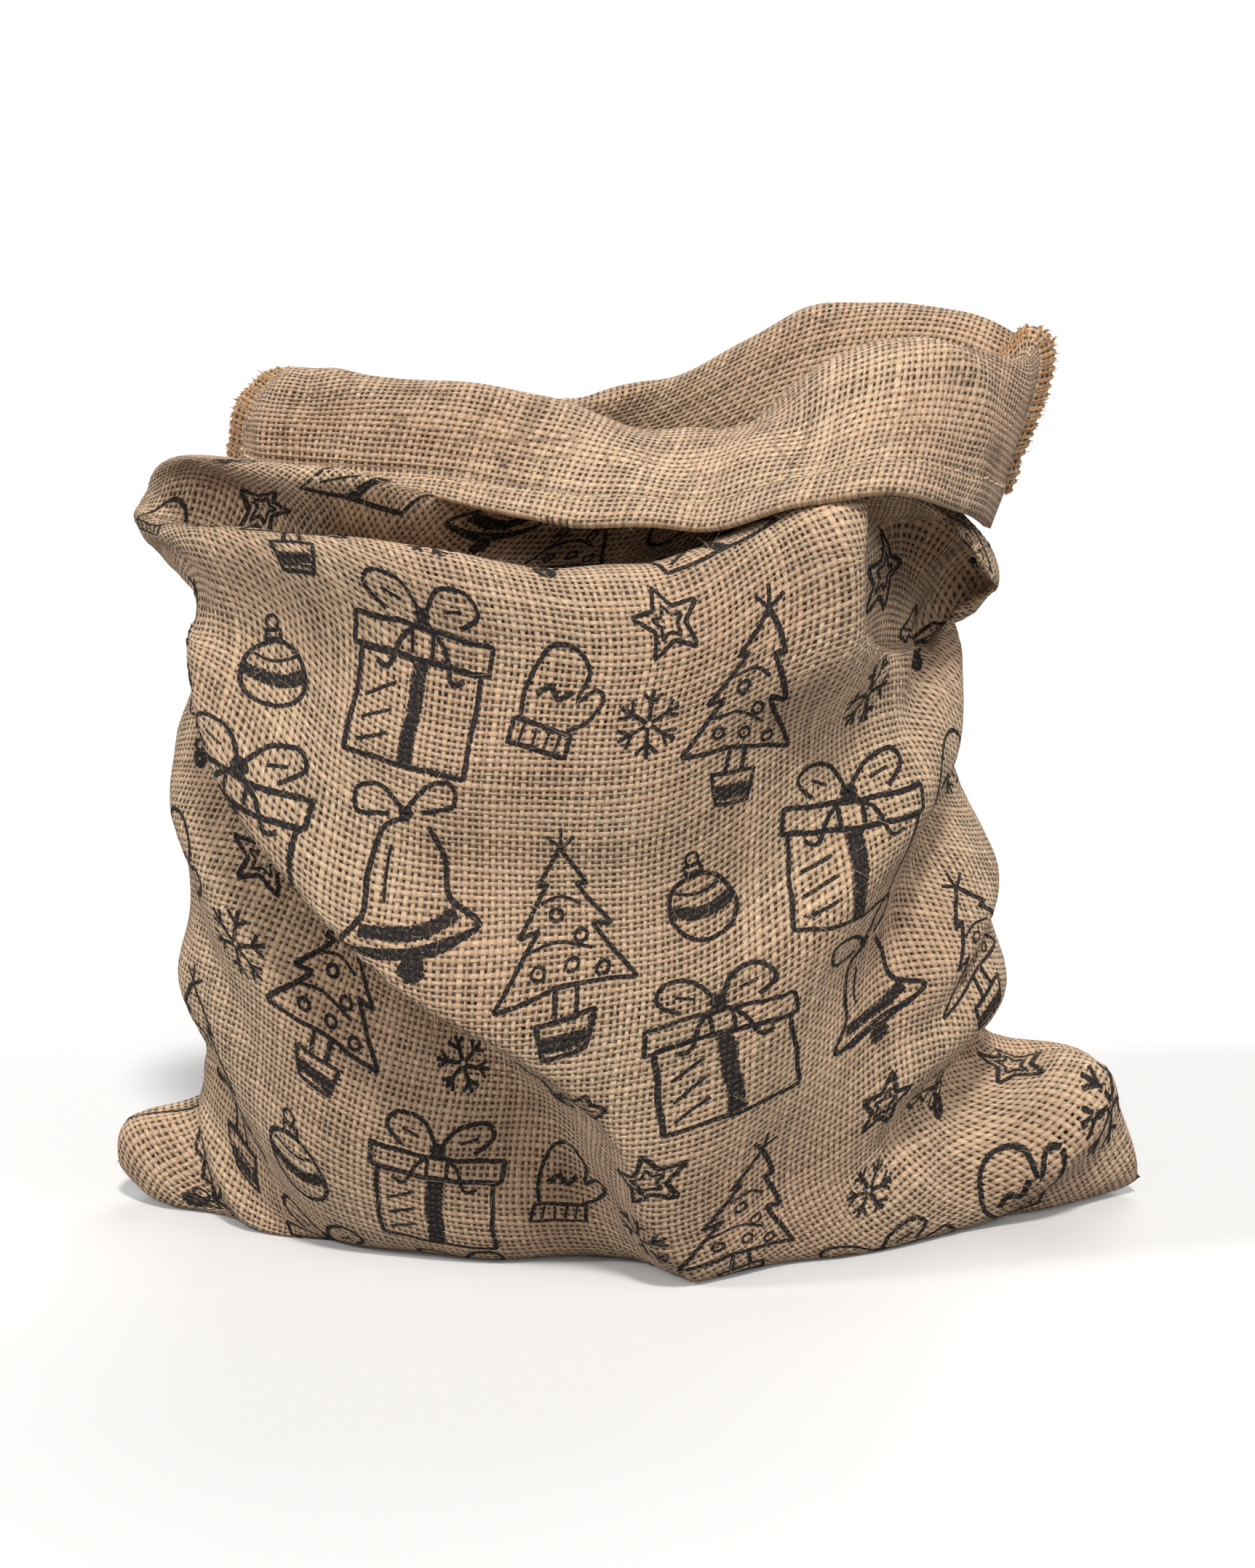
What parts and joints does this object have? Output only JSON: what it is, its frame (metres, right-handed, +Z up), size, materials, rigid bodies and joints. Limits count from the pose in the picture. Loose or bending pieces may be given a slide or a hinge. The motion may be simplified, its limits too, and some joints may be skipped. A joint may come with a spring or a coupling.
{
  "type": "burlap bag",
  "caption": "Open burlap bag that stands half slumped on a flat base, its mouth turned down in a deep cuff, its front creased by a long slanting fold.",
  "frame": {"origin": "centre of the bounding box, on the floor that the base lies on", "axes": "+Z up, -Y towards the front with the long slanting fold, -X towards the side seam under the bag's elbow"},
  "size_m": [0.401, 0.2138, 0.3432],
  "materials": {
    "burlap": "coarse open plain weave, matte, natural jute"
  },
  "bodies": {
    "root": {"sack_cloth": "burlap"}
  },
  "joints": []
}
